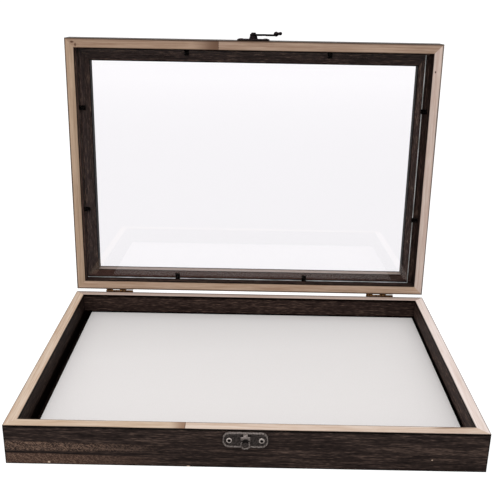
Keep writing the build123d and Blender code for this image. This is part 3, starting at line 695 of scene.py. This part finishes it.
def float_glass():
    """Float glass: clear and smooth. It lets light through to the wood behind it."""
    material, tree = new_finish("float_glass")
    axes = shut_axes(tree, "lid")
    smears = add(tree, "TexNoise", {"Vector": axes, "Scale": 0.03, "Detail": 3.0})
    gloss = add(tree, "MapRange", {"Value": smears, "To Min": 0.0, "To Max": 0.01})
    glass = add(tree, "BsdfPrincipled", {"Base Color": linear("#FAF8FB"), "Roughness": gloss, "IOR": 1.5,
                                         "Transmission Weight": 1.0})
    ray = add(tree, "LightPath").outputs
    lighting = add(tree, "Math", {0: ray["Is Shadow Ray"], 1: ray["Is Diffuse Ray"]}, operation="MAXIMUM")
    clear = add(tree, "BsdfTransparent", {"Color": linear("#F2F4F4")})
    glass = add(tree, "MixShader", {0: lighting, 1: glass, 2: clear})
    add(tree, "OutputMaterial", {"Surface": glass})
    return material


def ground_glass(name, dark, light):
    """Ground glass: frosted and mottled in patches, here painted dark as shade on some edges and bright as a
    highlight on others.
    """
    material, tree = new_finish(name)
    axes = shut_axes(tree, "lid")
    grit = add(tree, "TexNoise", {"Vector": axes, "Scale": 0.8, "Detail": 4.0})
    patches = add(tree, "TexNoise", {"Vector": axes, "Scale": 0.05, "Detail": 2.0})
    tone = add(tree, "Math", {0: grit, 1: 0.4, 2: patches}, operation="MULTIPLY_ADD")
    tone = add(tree, "MapRange", {"Value": tone, "From Min": 0.55, "From Max": 0.85})
    colour = add(tree, "Mix", {"Factor": tone, "A": linear(dark), "B": linear(light)}, data_type="RGBA")
    relief = add(tree, "Bump", {"Strength": 0.5, "Distance": 0.0001, "Height": grit})
    edge = add(tree, "BsdfPrincipled", {"Base Color": colour, "Roughness": 0.45, "Normal": relief})
    add(tree, "OutputMaterial", {"Surface": edge})
    return material


def pane_face(normal, middle):
    # the ground corners facing right and towards the hinges take the painted highlight, the rest the painted
    # shade
    if abs(normal.z) > 0.99:
        return 0
    on_arris = abs(normal.z) > 0.1
    return 1 if on_arris and max(normal.x, normal.y) > 0.1 else 2


softened(
    "glass_pane", "glass_pane_ground", "lid",
    [float_glass(), ground_glass("ground_glass_painted_highlight", "#A4A8A6", "#FFFFFF"),
     ground_glass("ground_glass_painted_shade", "#2C2422", "#544A46")],
    lambda along, middle: PANE_ARRIS, pane_face,
)

# ---------------------------------------------------------------- glazing points
# Eight stamped steel points, blued nearly black and pushed into the boards over the glass.
# They hold the pane down on the lid's lip.

POINT_ARRIS = 0.12


def blued_steel():
    """Blued spring steel: nearly black and softly glossy, worn to grey in small spots."""
    material, tree = new_finish("blued_steel")
    axes = shut_axes(tree, "lid")
    wear = add(tree, "TexNoise", {"Vector": axes, "Scale": 1.1, "Detail": 4.0})
    tone = add(tree, "MapRange", {"Value": wear, "From Min": 0.54, "From Max": 0.74})
    colour = add(tree, "Mix", {"Factor": tone, "A": linear("#1C1818"), "B": linear("#6A6460")},
                 data_type="RGBA")
    gloss = add(tree, "MapRange", {"Value": wear, "To Min": 0.24, "To Max": 0.44})
    blued = add(tree, "BsdfPrincipled", {"Base Color": colour, "Metallic": 1.0, "Roughness": gloss})
    add(tree, "OutputMaterial", {"Surface": blued})
    return material


softened("glazing_points", "steel_points", "lid", [blued_steel()],
         lambda along, middle: POINT_ARRIS)

# ---------------------------------------------------------------- bronzed metal
# The hinges, the latch and their screws are pressed or cast, with a dark antique bronze
# finish that is rubbed bright along the corners and on the raised borders. On the catch plate the
# faces that look up are painted bright as painted light, and the tongue's shoulders as a painted glint.


def antique_bronze(name, body, dark, light, roughness, bare=1.0, hollows=()):
    """Antique bronze plating: a nearly black patina, finely mottled; bright brown where rubbed.

    bare is the share of uncoated metal: the rest is a dull patina. hollows are ovals painted
    dark, as patina and painted shade: x, z, half the width and half the height.
    """
    material, tree = new_finish(name)
    axes = shut_axes(tree, body)
    mottle = add(tree, "TexNoise", {"Vector": axes, "Scale": 0.9, "Detail": 4.0, "Roughness": 0.65})
    tone = add(tree, "MapRange", {"Value": mottle, "From Min": 0.38, "From Max": 0.66})
    colour = add(tree, "Mix", {"Factor": tone, "A": linear(dark), "B": linear(light)}, data_type="RGBA")
    for x, z, wide, high in hollows:
        reach = from_oval(tree, axes, (x, 0, z), (1 / wide, 0, 1 / high))
        dark_oval = add(tree, "MapRange", {"Value": reach, "From Min": OVAL_EDGE[0], "From Max": OVAL_EDGE[1]})
        colour = add(tree, "Mix", {"Factor": dark_oval, "A": colour, "B": linear("#1C1513")}, data_type="RGBA")
    gloss = add(tree, "MapRange", {"Value": tone, "To Min": roughness + 0.10, "To Max": roughness - 0.06})
    relief = add(tree, "Bump", {"Strength": 0.5, "Distance": 0.0001, "Height": mottle})
    bronze = add(tree, "BsdfPrincipled", {"Base Color": colour, "Metallic": bare, "Roughness": gloss,
                                          "Normal": relief})
    add(tree, "OutputMaterial", {"Surface": bronze})
    return material


FACE_Y = -HALF_DEPTH  # of the case's front, which the latch is screwed to
PLATE_FIELD, PLATE_BORDER = 1.1, 1.7  # heights of the plates' field and raised border
PLATE_ARRIS, BORDER_ARRIS = 0.2, 0.5
TONGUE_FACE = 7.5
TONGUE_SHOULDER = 28.0  # height of the bar's underside, over the round end of the tongue
TONGUE_HOLLOW = [(-0.7, 26.4, 2.8, 2.8)]  # painted shade under the tongue's bar, with patina, over the middle of its round end
CROSS_FLOOR = 1.65  # of the cross cut in a screw's head
CROSSES = [(-12.4, 24.05, 1.3, 1.3), (11.0, 24.05, 1.3, 1.3)]  # dark middles of the catch plate's screws: patina, and painted shade in their crosses
SCREW_ARRIS = 0.1
HOOK_ARRIS = 0.2

black, warm = {}, {}
for body in ("tray", "lid"):
    black[body] = antique_bronze(f"black_bronze_{body}", body, "#1A1413", "#4A4044", 0.30)
    warm[body] = antique_bronze(f"warm_bronze_{body}", body, "#221814", "#9A6C3C", 0.40, 0.8)
catch_field = antique_bronze("dull_bronze", "tray", "#342C2A", "#6A605C", 0.45, 0.55)
# the rubbed finish is both wear and painted light, and the next one a painted glint
catch_rubbed_and_lit = antique_bronze("bronze_rubbed_and_painted_light", "tray", "#5E5450", "#B4A8A2", 0.38, 0.5, TONGUE_HOLLOW)
catch_glint = antique_bronze("bronze_painted_glint", "tray", "#C8BCB4", "#F0E4DC", 0.30, 0.7)
catch_screw = antique_bronze("rubbed_screw", "tray", "#B8ABA4", "#F0E4DC", 0.35, 0.4, CROSSES)
hasp_screw = antique_bronze("dull_screw", "lid", "#3A3230", "#9A908A", 0.35, 0.7)


def latch_arris(along, middle):
    level = FACE_Y - middle.y
    if abs(along.y) < 0.1 and abs(level - PLATE_BORDER) < 0.05:
        return BORDER_ARRIS
    return PLATE_ARRIS


def latch_face(normal, middle):
    level = FACE_Y - middle.y
    on_border = PLATE_BORDER - 0.25 < level < PLATE_BORDER + 0.05 and normal.y < -0.85
    on_tongue = level > TONGUE_FACE - 0.25 and normal.y < -0.3
    # faces that look up are painted bright, as painted light
    on_top = normal.z > 0.3 and level > 0.0
    # the up-facing shoulders of the tongue's round end carry a painted glint
    on_shoulder = on_top and level > 3.0 and middle.z < TONGUE_SHOULDER
    if on_shoulder:
        return 2
    return 1 if on_border or on_tongue or on_top else 0


def screw_face(normal, middle):
    level = FACE_Y - middle.y
    in_cross = normal.y < -0.99 and abs(level - CROSS_FLOOR) < 0.1
    return 1 if normal.y < -0.2 and level > PLATE_FIELD + 0.2 and not in_cross else 0


softened("catch_plate", "cast_catch_plate", "tray",
         [catch_field, catch_rubbed_and_lit, catch_glint], latch_arris, latch_face)
softened("hasp_plate", "cast_hasp_plate", "lid", [black["lid"]], latch_arris)

# node, piece, body, width of its eased corners, finish
SMALL_PARTS = (
    ("left_hinge_base_leaf", "left_hinge_tray_leaf", "tray", 0.08, warm["tray"]),
    ("right_hinge_base_leaf", "right_hinge_tray_leaf", "tray", 0.08, warm["tray"]),
    ("left_hinge_lid_leaf", "left_hinge_upper_leaf", "lid", 0.08, warm["lid"]),
    ("right_hinge_lid_leaf", "right_hinge_upper_leaf", "lid", 0.08, warm["lid"]),
    ("left_hinge_pin", "left_pin", "tray", 0.12, warm["tray"]),
    ("right_hinge_pin", "right_pin", "tray", 0.12, warm["tray"]),
    ("base_hinge_screws", "tray_leaf_screws", "tray", 0.08, warm["tray"]),
    ("lid_hinge_screws", "upper_leaf_screws", "lid", 0.08, warm["lid"]),
    ("hasp_rivet", "hook_rivet", "lid", 0.1, black["lid"]),
)
for node, piece_name, body, width, finish in SMALL_PARTS:
    softened(node, piece_name, body, [finish], lambda along, middle: width)
softened("catch_screws", "catch_plate_screws", "tray", [black["tray"], catch_screw],
         lambda along, middle: SCREW_ARRIS, screw_face)
softened("hasp_screws", "hasp_plate_screws", "lid", [black["lid"], hasp_screw],
         lambda along, middle: SCREW_ARRIS, screw_face)
softened("hook", "cast_hook", "hook", [black["lid"]], lambda along, middle: HOOK_ARRIS)
